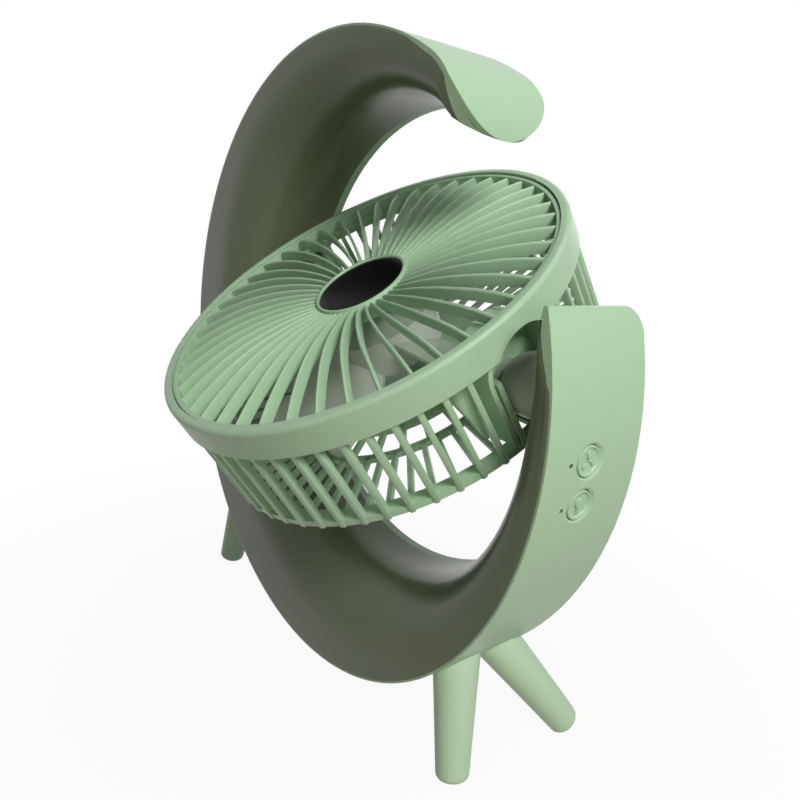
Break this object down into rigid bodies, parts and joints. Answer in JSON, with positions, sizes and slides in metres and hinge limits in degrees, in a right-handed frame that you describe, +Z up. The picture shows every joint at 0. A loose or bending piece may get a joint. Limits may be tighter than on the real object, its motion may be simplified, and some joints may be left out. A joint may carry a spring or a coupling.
{
  "type": "rechargeable table fan",
  "caption": "Rechargeable table fan: a round fan head that tilts inside a crescent lamp ring standing on splayed legs, in pale green and smoked plastic.",
  "frame": {"origin": "on the table, in the middle of the overall width and depth", "axes": "+X towards the arm with the buttons, -Y the front, +Z up"},
  "size_m": [0.28, 0.1755, 0.2855],
  "materials": {
    "mint_plastic": "satin, fine moulded grain",
    "leg_mint": "satin",
    "smoked_cover": "satin gloss, translucent grey",
    "pale_plastic": "satin, slightly translucent",
    "black_gloss": "gloss",
    "smoked_blades": "clear smoked",
    "dark_lens": "gloss",
    "dark_plastic": "matt",
    "circuit_board": "solder mask",
    "strip_board": "white solder mask",
    "led_resin": "resin",
    "cell_sleeve": "shrink sleeve",
    "socket_metal": "stamped",
    "motor_metal": "plated",
    "steel": "zinc plated",
    "bush_plastic": "slippery, satin"
  },
  "bodies": {
    "stand": {"outer_shell": "mint_plastic", "light_cover": "smoked_cover", "leg_front_right": "leg_mint", "leg_front_left": "leg_mint", "leg_rear_right": "leg_mint", "leg_rear_left": "leg_mint", "leg_screws": "steel", "shell_screws": "steel", "led_strip": "strip_board", "led_chips": "led_resin", "battery_cells": "cell_sleeve", "battery_tray": "dark_plastic", "button_board": "circuit_board", "button_switches": "dark_plastic", "charging_board": "circuit_board", "charging_socket": "socket_metal", "indicator_lenses": "dark_lens", "pivot_dome_right": "pale_plastic", "pivot_dome_left": "pale_plastic", "pivot_pin_right": "steel", "pivot_pin_left": "steel", "retaining_rings": "steel"},
    "head": {"head_rim": "mint_plastic", "front_grille": "mint_plastic", "badge_disc": "black_gloss", "rear_cage": "mint_plastic", "side_panel_right": "mint_plastic", "side_panel_left": "mint_plastic", "pivot_bush_right": "bush_plastic", "pivot_bush_left": "bush_plastic", "motor_can": "motor_metal", "motor_bearings": "steel", "motor_screws": "steel"},
    "fan": {"motor_shaft": "steel", "impeller": "smoked_blades"},
    "power_key": {"button_power": "mint_plastic"},
    "lamp_key": {"button_lamp": "mint_plastic"}
  },
  "joints": [
    {"name": "head_tilt", "type": "hinge", "parent": "stand", "child": "head", "pos_m": [0.023, 0.00452, 0.1585], "axis": [1, 0, 0], "range_deg": [-90, 90]},
    {"name": "fan_spin", "type": "hinge", "parent": "head", "child": "fan", "pos_m": [0.023, 0.00452, 0.1585], "axis": [0, -0.5878, 0.809], "continuous": true},
    {"name": "power_press", "type": "slide", "parent": "stand", "child": "power_key", "axis": [-0.9992, 0, 0.04], "range_m": [0, 0.0006], "stiffness_N_per_m": 400, "springref_m": -0.0003},
    {"name": "lamp_press", "type": "slide", "parent": "stand", "child": "lamp_key", "axis": [-0.9882, 0, 0.153], "range_m": [0, 0.0006], "stiffness_N_per_m": 400, "springref_m": -0.0003}
  ]
}
